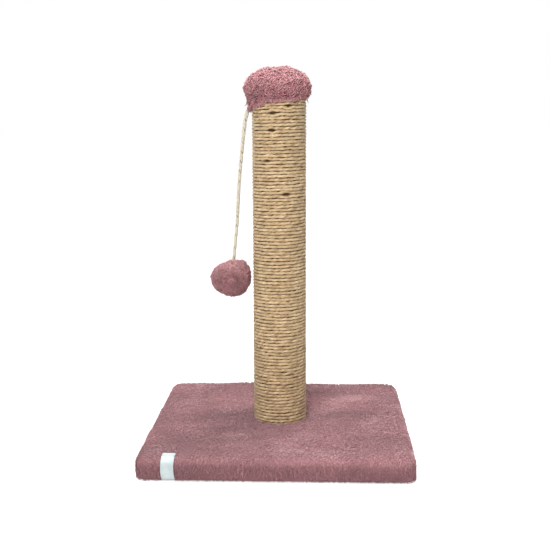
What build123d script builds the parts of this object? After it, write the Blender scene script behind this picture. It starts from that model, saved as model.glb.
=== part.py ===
from build123d import *
import math
import os

os.makedirs("parts", exist_ok=True)

# A scratching post: a plush-covered board, a tube wound with rope, a plush cap and a ball on a cord.
# Millimetres, +Z up, origin on the floor under the middle of the base, front towards -Y.

# Clearances
fit = 0.2  # between pieces that touch
running = 0.3  # between pieces that move against each other

# Base
base_side = 350.0  # over the plush, square in plan
base_corner = 16.0  # plan radius of the plush corners
base_edge = 11.0  # soft rounding of the top edge
base_foot_edge = 4.0  # chamfer where the plush turns under
pile_side = 8.0  # plush on the sides of the board
pile_top = 9.5  # plush on top of the board
pile_pressed = 3.0  # plush left under the foot of the post
hem_thickness = 3.5  # plush folded under the board
hem_width = 34.0
hem_corner = 6.0
board_thickness = 18.0
board_corner = 9.0

# Staples, flat wire
staple_crown = 12.0
staple_leg = 9.0
staple_wire = 0.8
staple_band = 1.2
hem_staple_pitch = 60.0
hem_staples_per_side = 5
dimple_depth = 1.8  # where a staple draws the hem in
dimple_width = 4.0
dimple_length = 15.0
plug_staples = 4
cap_staple_count = 6

# Side ribbon, bare
tape_width = 16.5
tape_thickness = 0.8
tape_inset = 42.5  # from the left side of the base to the middle of the ribbon
tape_reach = 16.0  # how far it goes in over the top and under the base
tape_bed = 1.3  # depth that it presses into the plush
tape_bed_margin = 0.4

# Post
tube_radius = 32.1
tube_wall = 4.0
tube_length = 470.0
lower_plug_height = 25.0
upper_plug_height = 18.0

# Bolt that holds the post, M8
bolt_radius = 3.9
bolt_length = 35.0
bolt_head_radius = 7.5  # over the corners
bolt_head_height = 5.3
bolt_hole_radius = 4.5
bolt_well_radius = 14.0
bolt_well_depth = 9.0
washer_side = 18.0
washer_thickness = 1.6
insert_radius = 6.0
insert_length = 15.0

# Rope
rope_across = 4.0  # over the corners of its section
rope_sides = 5
turn_gap = 0.45  # between the turns
rope_over_sleeve = 0.5  # under the start of the first turn
wound_turns = 14  # made as one tube, below the cap; the turns under them are a sleeve
rope_below_tube_top = 7.0
rope_end_angle = 90.0  # the ends lie at the back
foot_gap = 0.5  # between the rope and the plush that the post presses in

# Cap
plush_sides = 24  # flats round the cap and its wadding
pad_inset = 1.1  # the wadding's edge lies over the wall of the tube
pad_rim = 2.0
pad_top_radius = 20.0
pad_height = 6.0
cap_pile = 9.5  # plush over the pad
cap_lean = 2.5  # the plush sits this far to the left of the post
cap_hem_drop = 46.0  # below the crown, at the middle of the post
cap_hem_slope = 7.5  # degrees; the hem is lowest over the cord

# The cap's swell: how far it stands out past the rope, and how far below its crown
cap_rings = [
    (-16.0, 0.0),
    (-8.0, 2.5),
    (-1.0, 6.5),
    (4.5, 11.5),
    (8.0, 18.0),
    (9.2, 27.0),
    (7.9, 36.0),
    (5.2, 44.0),
    (1.6, 57.0),
]

# Toy
knot_radius = 3.3  # of the round space that a knot turns in
cord_diameter = 4.5
cord_sides = 8  # also of the knots
cord_in_knot = 1.0
ball_drop = 230.6  # from the middle of the upper knot to the middle of the ball
ball_radius = 29.0
ball_half_height = 26.0  # before its ends are cut flat
ball_wall = 6.0
ball_mouth = 3.2  # chamfer where the cord goes in
ball_knot_cover = 1.0  # filling over the knot inside the ball
ball_sides = 20
ball_angles = (0, 19, 38, 57, 75)  # where the ball changes slope, from its middle to each end
hollow_angles = (0, 36, 72)  # the same inside its skin
fillet_share = 0.45  # of the shorter run beside a corner

# The cord's route: how far it stands out from the straight line between its two ends, and how far down
cord_points = [
    (3.21, 9.89),
    (3.9, 22.0),
    (4.1, 45.0),
    (3.9, 84.0),
    (2.7, 117.0),
    (0.8, 145.0),
    (0.0, 181.0),
]

# Places that follow from the sizes
cavity_side = base_side - 2 * pile_side
board_side = cavity_side - 2 * fit
board_bottom = hem_thickness + fit
board_top = board_bottom + board_thickness
cavity_top = board_top + fit
base_height = cavity_top + pile_top
foot_floor = cavity_top + pile_pressed
post_foot = foot_floor + fit
tube_top = post_foot + tube_length
plug_radius = tube_radius - tube_wall - fit
rope_inner = tube_radius + fit
rope_outer = rope_inner + rope_across
rope_centre = rope_inner + rope_across / 2
rope_top = tube_top - rope_below_tube_top
rope_pitch = rope_across + turn_gap
coil_start = rope_top - rope_across / 2 - wound_turns * rope_pitch
tape_left = base_side / 2 - tape_inset
hem_middle = base_side / 2 - hem_width / 2
hem_opening = base_side - 2 * hem_width
pad_radius = tube_radius - pad_inset
pad_seat = tube_top + fit
knot_reach = knot_radius * math.cos(math.pi / cord_sides)
knot_chamfer = knot_reach - knot_radius * math.sin(math.pi / cord_sides)
crown = pad_seat + pad_height + fit + cap_pile


def base_section(inset):
    """The outline of the plush cut across the base, drawn smaller by an inset."""
    Rectangle(base_side, base_height, align=(Align.CENTER, Align.MIN))
    fillet(vertices().group_by(Axis.Y)[-1], base_edge)
    chamfer(vertices().group_by(Axis.Y)[0], base_foot_edge)
    if inset:
        offset(amount=-inset)


def keep_front_edge(reach):
    """Keeps what lies within reach of the front face."""
    with Locations((-base_side / 2, 0)):
        Rectangle(2 * reach, 3 * base_height, mode=Mode.INTERSECT)


def staple_in_round(radius):
    """A staple in plan, driven towards the middle, whose crown lies just within a radius."""
    crown_face = math.sqrt(radius**2 - (staple_crown / 2) ** 2)
    with Locations((crown_face - staple_wire / 2, 0)):
        Rectangle(staple_wire, staple_crown)
    with Locations((crown_face - staple_leg / 2, 0)):
        with GridLocations(1, staple_crown - staple_wire, 1, 2):
            Rectangle(staple_leg, staple_wire)


def coil_point(turn):
    """A point on the middle line of the wound rope."""
    angle = math.radians(rope_end_angle) + 2 * math.pi * turn
    height = coil_start + rope_pitch * turn
    return Vector(rope_centre * math.cos(angle), rope_centre * math.sin(angle), height)


def coil_way(turn):
    """The direction of the wound rope at a point."""
    angle = math.radians(rope_end_angle) + 2 * math.pi * turn
    rise = rope_pitch / (2 * math.pi)
    return Vector(-rope_centre * math.sin(angle), rope_centre * math.cos(angle), rise).normalized()


def biarc(start, start_way, end, end_way):
    """Two arcs that leave start and reach end in the given directions."""
    chord = end - start
    ways = start_way + end_way
    square = 2 * start_way.dot(end_way) - 2
    slope = -2 * chord.dot(ways)
    reach = (-slope - math.sqrt(slope * slope - 4 * square * chord.dot(chord))) / (2 * square)
    knee_in = start + start_way * reach
    knee_out = end - end_way * reach
    middle = (knee_in + knee_out) * 0.5
    TangentArc(start, middle, tangent=start_way)
    TangentArc(middle, end, tangent=(knee_out - knee_in).normalized())


def half_turns(first, count):
    """The middle line of the wound rope over a number of half turns."""
    for number in range(count):
        start = first + number / 2
        end = start + 0.5
        biarc(coil_point(start), coil_way(start), coil_point(end), coil_way(end))


def least_gap(points, points_a_turn, width):
    """The least gap of a wound tube to itself, from points along its middle line."""
    half_turn = points_a_turn // 2
    nearest = math.inf
    for number, point in enumerate(points):
        for other in points[number + half_turn :]:
            nearest = min(nearest, (other - point).length)
    return nearest - width


def corner_radii(points):
    """The radius at each corner of a cord's route, as large as the runs beside it allow."""
    radii = []
    for before, corner, after in zip(points, points[1:], points[2:]):
        run_in = corner - before
        run_out = after - corner
        half_turn = math.radians(run_in.get_angle(run_out)) / 2
        radii.append(fillet_share * min(run_in.length, run_out.length) / math.tan(half_turn))
    return radii


def in_flats(levels, sides):
    """A solid of tapered slices, from the planes across it in turn and its width at each."""
    with BuildPart() as solid:
        for (plane, width), (next_plane, next_width) in zip(levels, levels[1:]):
            rise = (next_plane.origin - plane.origin).length
            narrowing = (width - next_width) * math.cos(math.pi / sides)
            with BuildSketch(plane):
                RegularPolygon(width, sides)
            extrude(amount=rise, taper=math.degrees(math.atan2(narrowing, rise)))
    return solid.part


def pad_levels(gap):
    """The levels of the wadding on the post, or of the space that clears it by a gap."""
    return [
        (Plane.XY.offset(pad_seat), pad_radius + gap),
        (Plane.XY.offset(pad_seat + pad_rim + gap), pad_radius + gap),
        (Plane.XY.offset(pad_seat + pad_height + gap), pad_top_radius + gap),
    ]


def ball_width(angle, inset):
    """The radius of the ball at an angle from its middle, drawn smaller by an inset."""
    return (ball_radius - inset) * math.cos(math.radians(angle))


def ball_rise(angle, inset):
    """How far up from the ball's middle an angle lies, drawn smaller by an inset."""
    return (ball_half_height - inset) * math.sin(math.radians(angle))


def across_toy(rise):
    """The plane across the hanging line at a height above the ball's middle."""
    return Plane(origin=ball_centre - down * rise, x_dir=across, z_dir=-down)


def ball_in_flats(angles, inset):
    """The ball drawn smaller by an inset: a half with flats and its mirror image."""
    levels = [(across_toy(ball_rise(angle, inset)), ball_width(angle, inset)) for angle in angles]
    half = in_flats(levels, ball_sides)
    with BuildPart() as solid:
        add(half)
        mirror(about=across_toy(0))
    return solid.part


# Board
with BuildPart() as base_board:
    with BuildSketch(Plane.XY.offset(board_bottom)):
        RectangleRounded(board_side, board_side, board_corner)
    extrude(amount=board_thickness)
    with Locations(Plane(origin=(0, 0, board_bottom), z_dir=(0, 0, -1))):
        CounterBoreHole(bolt_hole_radius, bolt_well_radius, bolt_well_depth)

base_board.part.label = "base_board"
export_step(base_board.part, "parts/base_board.step")

# Plush over the board, folded under it and stapled
with BuildPart() as base_cover:
    with BuildSketch():
        RectangleRounded(base_side, base_side, base_corner)
    extrude(amount=base_height)
    fillet(base_cover.faces().sort_by(Axis.Z)[-1].edges(), base_edge)
    chamfer(base_cover.faces().sort_by(Axis.Z)[0].edges(), base_foot_edge)
    with BuildSketch(Plane.XY.offset(hem_thickness)):
        RectangleRounded(cavity_side, cavity_side, board_corner + fit)
    extrude(amount=cavity_top - hem_thickness, mode=Mode.SUBTRACT)
    with BuildSketch():
        RectangleRounded(hem_opening, hem_opening, hem_corner)
    extrude(amount=hem_thickness, mode=Mode.SUBTRACT)
    with BuildSketch(Plane.XY.offset(foot_floor)):
        Circle(rope_outer + foot_gap)
    extrude(amount=base_height - foot_floor, mode=Mode.SUBTRACT)
    with BuildSketch(Plane.XY.offset(cavity_top)):
        Circle(bolt_hole_radius)
    extrude(amount=pile_pressed, mode=Mode.SUBTRACT)
    with BuildSketch():
        with PolarLocations(hem_middle, 4):
            with GridLocations(1, hem_staple_pitch, 1, hem_staples_per_side):
                Rectangle(dimple_width, dimple_length)
    extrude(amount=dimple_depth, mode=Mode.SUBTRACT)
    with BuildSketch(Plane.YZ.offset(-tape_left - tape_width / 2 - tape_bed_margin)):
        base_section(-tape_bed)
        offset(amount=-2 * tape_bed, mode=Mode.SUBTRACT)
        keep_front_edge(tape_reach + tape_bed_margin)
    extrude(amount=tape_width + 2 * tape_bed_margin, mode=Mode.SUBTRACT)

base_cover.part.label = "base_cover"
export_step(base_cover.part, "parts/base_cover.step")

# Staples of the folded hem, one group
with BuildPart() as cover_staples:
    with BuildSketch(Plane.XY.offset(dimple_depth - staple_wire)):
        with PolarLocations(hem_middle, 4):
            with GridLocations(1, hem_staple_pitch, 1, hem_staples_per_side):
                Rectangle(staple_band, staple_crown)
    extrude(amount=staple_wire)
    with BuildSketch(Plane.XY.offset(dimple_depth - staple_wire)):
        with PolarLocations(hem_middle, 4):
            with GridLocations(1, hem_staple_pitch, 1, hem_staples_per_side):
                with GridLocations(1, staple_crown - staple_wire, 1, 2):
                    Rectangle(staple_band, staple_wire)
    extrude(amount=staple_leg)

cover_staples.part.label = "cover_staples"
export_step(cover_staples.part, "parts/cover_staples.step")

# White ribbon folded over the front edge
with BuildPart() as side_tape:
    with BuildSketch(Plane.YZ.offset(-tape_left - tape_width / 2)):
        base_section(tape_bed - fit - tape_thickness)
        offset(amount=-tape_thickness, mode=Mode.SUBTRACT)
        keep_front_edge(tape_reach)
    extrude(amount=tape_width)

side_tape.part.label = "side_tape"
export_step(side_tape.part, "parts/side_tape.step")

# Bolt and washer in the well under the board
well_floor = board_bottom + bolt_well_depth
washer_bottom = well_floor - fit - washer_thickness
head_bottom = washer_bottom - fit - bolt_head_height

with BuildPart() as post_washer:
    with BuildSketch(Plane.XY.offset(washer_bottom)):
        Rectangle(washer_side, washer_side)
        Circle(bolt_hole_radius, mode=Mode.SUBTRACT)
    extrude(amount=washer_thickness)

post_washer.part.label = "post_washer"
export_step(post_washer.part, "parts/post_washer.step")

with BuildPart() as post_bolt:
    with BuildSketch(Plane.XY.offset(head_bottom)):
        RegularPolygon(bolt_head_radius, 6)
    extrude(amount=bolt_head_height)
    with BuildSketch(Plane.XY.offset(head_bottom + bolt_head_height)):
        Circle(bolt_radius)
    extrude(amount=bolt_length)

post_bolt.part.label = "post_bolt"
export_step(post_bolt.part, "parts/post_bolt.step")

# Cardboard tube
with BuildPart() as post_tube:
    with BuildSketch(Plane.XY.offset(post_foot)):
        Circle(tube_radius)
        Circle(tube_radius - tube_wall, mode=Mode.SUBTRACT)
    extrude(amount=tube_length)

post_tube.part.label = "post_tube"
export_step(post_tube.part, "parts/post_tube.step")

# Wooden plugs in the ends of the tube
with BuildPart() as lower_plug:
    with BuildSketch(Plane.XY.offset(post_foot)):
        Circle(plug_radius)
    extrude(amount=lower_plug_height)
    with BuildSketch(Plane.XY.offset(post_foot)):
        Circle(insert_radius + fit)
    extrude(amount=insert_length + fit, mode=Mode.SUBTRACT)
    with BuildSketch(Plane.XY.offset(post_foot)):
        Circle(bolt_hole_radius)
    extrude(amount=lower_plug_height, mode=Mode.SUBTRACT)

lower_plug.part.label = "lower_plug"
export_step(lower_plug.part, "parts/lower_plug.step")

with BuildPart() as upper_plug:
    with BuildSketch(Plane.XY.offset(tube_top - upper_plug_height)):
        Circle(plug_radius)
    extrude(amount=upper_plug_height)

upper_plug.part.label = "upper_plug"
export_step(upper_plug.part, "parts/upper_plug.step")

# Threaded insert that takes the bolt
with BuildPart() as threaded_insert:
    with BuildSketch(Plane.XY.offset(post_foot)):
        Circle(insert_radius)
    extrude(amount=insert_length)
    with BuildSketch(Plane.XY.offset(post_foot)):
        Circle(bolt_radius + fit)
    extrude(amount=insert_length, mode=Mode.SUBTRACT)

threaded_insert.part.label = "threaded_insert"
export_step(threaded_insert.part, "parts/threaded_insert.step")

# Staples through the tube into each plug, one group an end
with BuildPart() as lower_plug_staples:
    with BuildSketch(Plane.XY.offset(post_foot + lower_plug_height / 2)):
        with PolarLocations(0, plug_staples):
            staple_in_round(tube_radius)
    extrude(amount=staple_band)

lower_plug_staples.part.label = "lower_plug_staples"
export_step(lower_plug_staples.part, "parts/lower_plug_staples.step")

with BuildPart() as upper_plug_staples:
    with BuildSketch(Plane.XY.offset(tube_top - upper_plug_height / 2 - staple_crown / 2)):
        with PolarLocations(0, plug_staples):
            staple_in_round(tube_radius)
    extrude(amount=staple_band)

upper_plug_staples.part.label = "upper_plug_staples"
export_step(upper_plug_staples.part, "parts/upper_plug_staples.step")

# Rope: turns of one tube below the cap, over a plain sleeve that stands for the turns under them
sleeve_top = coil_start - rope_across / 2 - rope_over_sleeve
rope_start = coil_point(0) - coil_way(0) * rope_across
rope_end = coil_point(wound_turns) + coil_way(wound_turns) * rope_across
rope_section = Plane(rope_start, x_dir=(coil_point(0).X, coil_point(0).Y, 0), z_dir=coil_way(0))

with BuildPart() as rope_winding:
    with BuildSketch(Plane.XY.offset(post_foot)):
        Circle(rope_outer)
        Circle(rope_inner, mode=Mode.SUBTRACT)
    extrude(amount=sleeve_top - post_foot)
    with BuildLine() as rope_line:
        Line(rope_start, coil_point(0))
        half_turns(0, 2 * wound_turns)
        Line(coil_point(wound_turns), rope_end)
    with BuildSketch(rope_section):
        RegularPolygon(rope_across / 2, rope_sides)
    sweep()

rope_winding.part.label = "rope_winding"
export_step(rope_winding.part, "parts/rope_winding.step")

points_a_turn = 36
rope_wire = rope_line.wires()[0]
rope_steps = points_a_turn * wound_turns
rope_points = [rope_wire.position_at(step / rope_steps) for step in range(rope_steps + 1)]
rope_gap = least_gap(rope_points, points_a_turn, rope_across)
print("least gap between the turns of the rope:", round(rope_gap, 3), "mm")

# Wadding on the end of the post
pad_block = in_flats(pad_levels(0), plush_sides)

with BuildPart() as cap_pad:
    add(pad_block)

cap_pad.part.label = "cap_pad"
export_step(cap_pad.part, "parts/cap_pad.step")

# Plush cap in flats, drawn down over the end of the rope
skirt_radius = rope_outer + fit
neck_radius = tube_radius + fit
shelf = rope_top + fit
skirt_foot = crown - cap_rings[-1][1]
hem_tilt = math.radians(cap_hem_slope)
hem_height = crown - cap_hem_drop
hem_plane = Plane(origin=(0, 0, hem_height), z_dir=(-math.sin(hem_tilt), 0, math.cos(hem_tilt)))

cap_levels = [(Plane((-cap_lean, 0, crown - drop)), rope_outer + overhang) for overhang, drop in cap_rings]
cap_block = in_flats(cap_levels[::-1], plush_sides)
pad_space = in_flats(pad_levels(fit), plush_sides)

with BuildPart() as cap_cover:
    add(cap_block)
    with BuildSketch(Plane.XY.offset(skirt_foot)):
        RegularPolygon(skirt_radius, plush_sides, major_radius=False)
    extrude(amount=shelf - skirt_foot, mode=Mode.SUBTRACT)
    with BuildSketch(Plane.XY.offset(shelf)):
        RegularPolygon(neck_radius, plush_sides, major_radius=False)
    extrude(amount=pad_seat - shelf, mode=Mode.SUBTRACT)
    add(pad_space, mode=Mode.SUBTRACT)
    split(bisect_by=hem_plane, keep=Keep.TOP)

cap_cover.part.label = "cap_cover"
export_step(cap_cover.part, "parts/cap_cover.step")

# Staples that hold the cap on the tube, above the end of the rope
with BuildPart() as cap_staples:
    with BuildSketch(Plane.XY.offset((shelf + tube_top - staple_band) / 2)):
        with PolarLocations(0, cap_staple_count):
            staple_in_round(neck_radius + 2 * staple_wire)
    extrude(amount=staple_band)

cap_staples.part.label = "cap_staples"
export_step(cap_staples.part, "parts/cap_staples.step")

# The toy hangs from a knot under the hem and leans out until the ball rests on the rope
knot_x = -(rope_outer + running + knot_radius)
knot_z = hem_height + knot_x * math.tan(hem_tilt) - (knot_radius + running) / math.cos(hem_tilt)
lean = math.asin((ball_radius - knot_radius) / ball_drop)
across = Vector(-math.cos(lean), 0, math.sin(lean))
down = Vector(-math.sin(lean), 0, -math.cos(lean))
hanging = Plane(origin=(knot_x, 0, knot_z), x_dir=across, z_dir=(0, -1, 0))
ball_centre = hanging.origin + down * ball_drop
ball_axis = Axis(ball_centre, down)
filling_inset = ball_wall + fit
filling_top = ball_rise(hollow_angles[-1], filling_inset)
ball_knot_height = filling_top - ball_knot_cover - running - knot_radius
cord_channel = cord_diameter / 2 + running
print("toy pivot", hanging.origin, "ball centre", ball_centre, "down", down)

with BuildPart() as top_knot:
    with BuildSketch(Plane(origin=hanging.origin, z_dir=down)):
        RegularPolygon(knot_reach, cord_sides)
    extrude(amount=knot_reach, both=True)
    chamfer(top_knot.edges().filter_by(ball_axis, reverse=True), knot_chamfer)

top_knot.part.label = "top_knot"
export_step(top_knot.part, "parts/top_knot.step")

# Cord
first_angle = math.atan2(*cord_points[0])
knot_clear = knot_radius + running
cord_start = (knot_clear * math.sin(first_angle), knot_clear * math.cos(first_angle))
cord_end = (0.0, ball_drop - ball_knot_height - knot_radius + cord_in_knot)
cord_route = [cord_start, *cord_points, cord_end]
cord_radii = corner_radii([Vector(*point) for point in cord_route])

with BuildPart() as toy_cord:
    with BuildLine(hanging) as cord_line:
        FilletPolyline(*cord_route, radius=cord_radii)
    cord_wire = cord_line.wires()[0]
    with BuildSketch(Plane(origin=cord_wire @ 0, z_dir=cord_wire % 0)):
        RegularPolygon(cord_diameter / 2, cord_sides)
    sweep()

toy_cord.part.label = "toy_cord"
export_step(toy_cord.part, "parts/toy_cord.step")

cord_section = cord_sides / 2 * (cord_diameter / 2) ** 2 * math.sin(2 * math.pi / cord_sides)
cord_fill = toy_cord.part.volume / (cord_section * cord_wire.length)
print("cord radii:", [round(radius, 1) for radius in cord_radii])
print("cord length:", round(cord_wire.length, 1), "mm")
print("cord volume over its section times its length:", round(cord_fill, 5))

# Knot inside the ball
with BuildPart() as ball_knot:
    with BuildSketch(across_toy(ball_knot_height)):
        RegularPolygon(knot_reach, cord_sides)
    extrude(amount=knot_reach, both=True)
    chamfer(ball_knot.edges().filter_by(ball_axis, reverse=True), knot_chamfer)

ball_knot.part.label = "ball_knot"
export_step(ball_knot.part, "parts/ball_knot.step")

# Ball: a plush skin in flats, gathered round its filling
ball_block = ball_in_flats(ball_angles, 0)
ball_hollow = ball_in_flats(hollow_angles, ball_wall)
filling_block = ball_in_flats(hollow_angles, filling_inset)

with BuildPart() as ball_cover:
    add(ball_block)
    add(ball_hollow, mode=Mode.SUBTRACT)
    with BuildSketch(across_toy(ball_knot_height)):
        RegularPolygon(cord_channel, cord_sides)
    extrude(amount=ball_half_height, mode=Mode.SUBTRACT)
    mouth_face = ball_cover.faces().sort_by(Axis(ball_centre, -down))[-1]
    chamfer(mouth_face.inner_wires()[0].edges(), ball_mouth)

ball_cover.part.label = "ball_cover"
export_step(ball_cover.part, "parts/ball_cover.step")

with BuildPart() as ball_filling:
    add(filling_block)
    with BuildSketch(across_toy(ball_knot_height)):
        RegularPolygon(cord_channel, cord_sides)
    extrude(amount=ball_half_height, mode=Mode.SUBTRACT)
    with BuildSketch(across_toy(ball_knot_height)):
        RegularPolygon(knot_radius + running, cord_sides)
    extrude(amount=knot_radius + running, both=True, mode=Mode.SUBTRACT)

ball_filling.part.label = "ball_filling"
export_step(ball_filling.part, "parts/ball_filling.step")
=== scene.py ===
import math

import bpy
import numpy as np
from mathutils import Matrix, Vector


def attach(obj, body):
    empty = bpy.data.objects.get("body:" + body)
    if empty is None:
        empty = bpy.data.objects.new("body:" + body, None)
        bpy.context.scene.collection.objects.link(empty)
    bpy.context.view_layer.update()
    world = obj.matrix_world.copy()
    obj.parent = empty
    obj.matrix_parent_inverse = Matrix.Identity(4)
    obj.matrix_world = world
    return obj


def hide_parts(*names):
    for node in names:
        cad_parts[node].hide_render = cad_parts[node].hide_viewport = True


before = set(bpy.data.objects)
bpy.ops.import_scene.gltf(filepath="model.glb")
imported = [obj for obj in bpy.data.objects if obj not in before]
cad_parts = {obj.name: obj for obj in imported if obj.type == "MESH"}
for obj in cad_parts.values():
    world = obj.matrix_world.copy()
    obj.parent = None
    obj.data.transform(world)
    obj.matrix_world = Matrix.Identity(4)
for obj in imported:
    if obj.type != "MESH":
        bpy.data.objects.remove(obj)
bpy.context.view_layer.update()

MM = 0.001

# Sizes shared with the part, in millimetres
BASE_HALF = 175.0
BASE_CORNER = 16.0
BASE_EDGE = 11.0
BASE_HEIGHT = 31.4
HEM_WIDTH = 34.0
FOOT_FLOOR = 24.9
FOOT_RADIUS = 36.8
ROPE_INNER = 32.3
ROPE_OUTER = 36.3
ROPE_PITCH = 4.45
ROPE_FOOT = 25.1
ROPE_TOP = 488.1
CROWN = 511.0
CAP_LEAN = 2.5

# The toy hangs from its pivot along a leaning line
TOY_PIVOT = np.array([-39.9, 0.0, 456.116])
TOY_ACROSS = np.array([-0.99377, 0.0, 0.111448])
TOY_DOWN = np.array([-0.111448, 0.0, -0.99377])
BALL_DROP = 230.6
CORD_ROUTE = [
    (1.111, 3.424),
    (3.21, 9.89),
    (3.9, 22.0),
    (4.1, 45.0),
    (3.9, 84.0),
    (2.7, 117.0),
    (0.8, 145.0),
    (0.0, 181.0),
    (0.0, 214.07),
]


# Geometry helpers


def unit(vectors):
    """Vectors scaled to length one."""
    return vectors / np.maximum(np.linalg.norm(vectors, axis=-1, keepdims=True), 1e-12)


def waves(points, size, seed, count=12):
    """Smooth noise of about -1 to 1, whose bumps are of the given size."""
    rng = np.random.default_rng(seed)
    ways = unit(rng.normal(size=(count, points.shape[-1])))
    pace = 2 * math.pi / size * rng.uniform(0.6, 1.5, count)
    turn = rng.uniform(0, 2 * math.pi, count)
    return np.sin(points @ (ways * pace[:, None]).T + turn).sum(axis=-1) / math.sqrt(2 * count)


def ease(low, high, value):
    """Rises smoothly from 0 at low to 1 at high."""
    share = np.clip((value - low) / (high - low), 0, 1)
    return share * share * (3 - 2 * share)


def resampled(line, count):
    """Evenly spaced points along a line, with the distance along it to each."""
    runs = np.concatenate([[0], np.cumsum(np.linalg.norm(np.diff(line, axis=0), axis=1))])
    along = np.linspace(0, runs[-1], count)
    return along, np.stack([np.interp(along, runs, line[:, i]) for i in range(line.shape[1])], axis=1)


def smoothed(line, rounds):
    """A line with its corners rounded and its ends kept."""
    line = line.copy()
    for _ in range(rounds):
        line[1:-1] = 0.25 * line[:-2] + 0.5 * line[1:-1] + 0.25 * line[2:]
    return line


def degrees_from(angle, middle):
    """How far an angle in radians lies from a middle in degrees, from -180 to 180 degrees."""
    return (np.degrees(angle) - middle + 180) % 360 - 180


def circle(spin, radius, height):
    """Points on a level circle, or on a line round the upright axis if the height varies."""
    return np.stack([radius * np.cos(spin), radius * np.sin(spin), np.zeros_like(spin) + height], axis=1)


def make_mesh(name, points, quads, material, tone=None, vectors=None):
    """A mesh object from points in millimetres and four-cornered faces."""
    mesh = bpy.data.meshes.new(name)
    mesh.vertices.add(len(points))
    mesh.vertices.foreach_set("co", (points * MM).astype(np.float32).ravel())
    mesh.loops.add(len(quads) * 4)
    mesh.loops.foreach_set("vertex_index", quads.astype(np.int32).ravel())
    mesh.polygons.add(len(quads))
    mesh.polygons.foreach_set("loop_start", np.arange(0, len(quads) * 4, 4, dtype=np.int32))
    mesh.polygons.foreach_set("use_smooth", np.full(len(quads), True))
    mesh.update(calc_edges=True)
    if tone is not None:
        layer = mesh.attributes.new("tone", "FLOAT", "POINT")
        layer.data.foreach_set("value", tone.astype(np.float32).ravel())
    if vectors is not None:
        layer = mesh.attributes.new("lay", "FLOAT_VECTOR", "POINT")
        layer.data.foreach_set("vector", vectors.astype(np.float32).ravel())
    mesh.materials.append(material)
    piece = bpy.data.objects.new(name, mesh)
    bpy.context.scene.collection.objects.link(piece)
    return piece


def ring_quads(rings, count, closed=True):
    """Faces between neighbouring rings of points, each ring closed on itself unless told otherwise."""
    around = np.arange(count if closed else count - 1)
    start = np.arange(rings - 1)[:, None] * count
    first = start + around
    second = start + (around + 1) % count
    return np.stack([first, second, second + count, first + count], axis=-1).reshape(-1, 4)


def tubes(paths, radii, sides):
    """Tubes along paths of equal length, as points and faces."""
    many, steps, _ = paths.shape
    ways = unit(np.gradient(paths, axis=1))
    lies_flat = np.abs(ways[:, steps // 2, 2:3]) < 0.8
    hint = np.where(lies_flat, np.array([[0.0, 0.0, 1.0]]), np.array([[1.0, 0.0, 0.0]]))
    hint = np.repeat(hint[:, None, :], steps, axis=1)
    side = unit(np.cross(ways, hint))
    up = np.cross(side, ways)
    turn = (np.arange(sides) * 2 * math.pi / sides)[None, None, :, None]
    ring = side[:, :, None, :] * np.cos(turn) + up[:, :, None, :] * np.sin(turn)
    points = paths[:, :, None, :] + ring * radii[:, :, None, None]
    first = (np.arange(many) * steps * sides)[:, None, None]
    quads = first + ring_quads(steps, sides)[None]
    return points.reshape(-1, 3), quads.reshape(-1, 4)


def scatter(points, quads, count, rng):
    """Evenly spread places on a surface and the way out from each."""
    a, b, c, d = (points[quads[:, i]] for i in range(4))
    out = np.cross(c - a, d - b)
    size = np.linalg.norm(out, axis=1)
    mark = np.cumsum(size) / size.sum()
    drawn = (np.arange(count) + rng.random(count)) / count
    pick = np.minimum(np.searchsorted(mark, drawn), len(quads) - 1)
    u = rng.random(count)[:, None]
    v = rng.random(count)[:, None]
    place = (1 - u) * (1 - v) * a[pick] + u * (1 - v) * b[pick] + u * v * c[pick] + (1 - u) * v * d[pick]
    return place, unit(out[pick])


def pile(place, out, way, length, lift, arch, curl, turns, thick, steps, sides, rng, bend=0.0, root_shade=0.25):
    """Strands of plush that lean along a way over a surface, curl, and thin to a tip.

    Gives their points, faces and tones. The length, lift and thickness are one number to a strand.
    """
    count = len(place)
    way = unit(way - out * (way * out).sum(axis=1, keepdims=True))
    side = np.cross(out, way)
    share = np.linspace(0, 1, steps)
    phase = rng.uniform(0, 2 * math.pi, count)[:, None] + share * 2 * math.pi * turns
    grow = curl * np.sqrt(share)
    along = share * length[:, None]
    rise = lift[:, None] * np.sin(math.pi * share * arch) - bend * along**2 - 0.4 * (1 - share)
    swing = grow * np.cos(phase)
    heave = grow * np.sin(phase) * 0.6
    path = place[:, None] + way[:, None] * along[..., None]
    path = path + side[:, None] * swing[..., None] + out[:, None] * (rise + heave)[..., None]
    radii = thick[:, None] * (1.0 - 0.72 * share**1.6)
    points, quads = tubes(path, radii, sides)
    own = rng.uniform(0.72, 1.08, count)[:, None]
    tip = rng.uniform(0.75, 1.0, count)[:, None]
    # The tone runs from dark at the root to light at the tip, painted shade deep in the pile, with a random share
    # to each strand
    tone = (root_shade + (1 - root_shade) * share**0.8 * tip) * own
    return points, quads, np.repeat(tone, sides, axis=1).reshape(-1)


def merge(parts):
    """Several meshes and their tones as one."""
    shift = 0
    faces = []
    for points, quads, _ in parts:
        faces.append(quads + shift)
        shift += len(points)
    return np.concatenate([p[0] for p in parts]), np.concatenate(faces), np.concatenate([p[2] for p in parts])


# Material helpers


def new_material(name, rough=0.8, **constants):
    """A node material, with values that are the same all over set on its shader."""
    material = bpy.data.materials.new(name)
    material.use_nodes = True
    shader = material.node_tree.nodes["Principled BSDF"]
    shader.inputs["Roughness"].default_value = rough
    for socket, value in constants.items():
        shader.inputs[socket.replace("_", " ")].default_value = value
    return material, material.node_tree.nodes, material.node_tree.links, shader


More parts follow.
